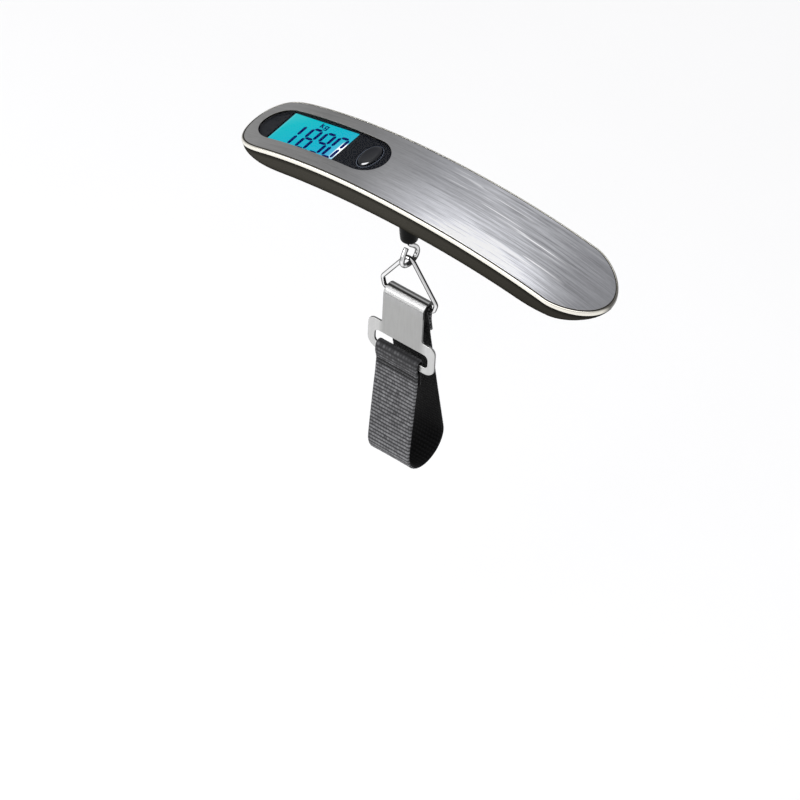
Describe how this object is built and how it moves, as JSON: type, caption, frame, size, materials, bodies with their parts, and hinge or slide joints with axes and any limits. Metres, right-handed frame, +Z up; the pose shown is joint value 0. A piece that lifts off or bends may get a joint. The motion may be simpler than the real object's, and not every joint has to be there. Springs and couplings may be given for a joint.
{
  "type": "digital luggage scale",
  "caption": "Hand-held hanging scale: arched body with steel top, lit display and button, wire hook on a collar, wire triangle, hook buckle and webbing loop.",
  "frame": {"origin": "below the middle of the body's length and width, level with the lowest point of the webbing loop", "axes": "+X along the body from the display end to the plain end, +Y across the body away from the user, +Z up, with the load hanging towards -Z"},
  "size_m": [0.165, 0.0334, 0.1478],
  "materials": {
    "brushed_cover": "stainless sheet brushed lengthways, polished rim",
    "satin_steel": "satin nickel-plated sheet",
    "chrome_wire": "bright chrome plate",
    "casing_black": "fine satin texture",
    "inner_plastic": "moulded",
    "collar_black": "semi-gloss",
    "gloss_black": "gloss",
    "button_black": "gloss, dished",
    "clear_lens": "clear, polished",
    "lcd": "lit cyan display with dark blue segments",
    "backlight": "translucent white",
    "pink_rubber": "soft silicone",
    "board_green": "solder mask",
    "switch_metal": "stamped",
    "ivory_plastic": "moulded",
    "zinc_steel": "zinc plated",
    "black_screw": "black oxide",
    "cell_aluminium": "machined",
    "gauge_foil": "polyimide film",
    "cell_can": "stainless can",
    "contact_brass": "nickel-flashed strip",
    "red_wire": "insulation",
    "black_wire": "insulation",
    "grey_wire": "insulation",
    "webbing": "ribbed polyester webbing"
  },
  "bodies": {
    "scale_body": {"steel_top_cover": "brushed_cover", "upper_frame": "inner_plastic", "lower_casing": "casing_black", "display_lens": "clear_lens", "display_bezel": "gloss_black", "lcd_glass": "lcd", "backlight_panel": "backlight", "zebra_connector": "pink_rubber", "circuit_board": "board_green", "controller_blob": "gloss_black", "tact_switch_body": "switch_metal", "board_screw_1": "zinc_steel", "board_screw_2": "zinc_steel", "load_cell_beam": "cell_aluminium", "strain_gauge_top": "gauge_foil", "strain_gauge_bottom": "gauge_foil", "load_cell_screw_1": "zinc_steel", "load_cell_screw_2": "zinc_steel", "casing_screw_1": "black_screw", "casing_screw_2": "black_screw", "casing_screw_3": "black_screw", "battery_cell": "cell_can", "battery_holder": "inner_plastic", "battery_contact_minus": "contact_brass", "battery_contact_plus": "contact_brass", "battery_lead_red": "red_wire", "battery_lead_black": "black_wire", "gauge_lead_bundle": "grey_wire", "spindle_collar": "collar_black"},
    "button": {"button_cap": "button_black"},
    "switch_plunger": {"tact_switch_plunger": "ivory_plastic"},
    "battery_door": {"battery_cover": "casing_black"},
    "hook": {"hook": "chrome_wire", "spindle_nut": "zinc_steel", "spindle_washer": "zinc_steel"},
    "ring": {"triangle_ring": "chrome_wire"},
    "strap_back": {"strap_back_leg": "webbing"},
    "buckle_front": {"buckle_plate": "satin_steel", "strap_front_leg": "webbing"}
  },
  "joints": [
    {"name": "button_press", "type": "slide", "parent": "scale_body", "child": "button", "axis": [0.0897, 0, -0.996], "range_m": [0, 0.0007]},
    {"name": "plunger_travel", "type": "slide", "parent": "scale_body", "child": "switch_plunger", "axis": [0.2088, 0, -0.978], "range_m": [0, 0.00036]},
    {"name": "battery_cover_open", "type": "hinge", "parent": "scale_body", "child": "battery_door", "pos_m": [0.0567, 0, 0.12469], "axis": [0, -1, 0], "range_deg": [0, 80]},
    {"name": "hook_swivel", "type": "hinge", "parent": "scale_body", "child": "hook", "pos_m": [-0.0088, 0, 0.12779], "axis": [0, 0, 1], "continuous": true},
    {"name": "ring_swing", "type": "hinge", "parent": "hook", "child": "ring", "pos_m": [-0.0088, 0, 0.10269], "axis": [0, 1, 0], "range_deg": [-30, 30]},
    {"name": "strap_swing", "type": "hinge", "parent": "ring", "child": "strap_back", "pos_m": [-0.0088, 0, 0.08419], "axis": [1, 0, 0], "range_deg": [-45, 45]},
    {"name": "loop_open", "type": "hinge", "parent": "strap_back", "child": "buckle_front", "pos_m": [-0.0088, 0, 0.08419], "axis": [-1, 0, 0], "range_deg": [0, 15]}
  ],
  "couplings": [
    {"joint": "plunger_travel", "follows": "button_press", "ratio": 0.5}
  ]
}
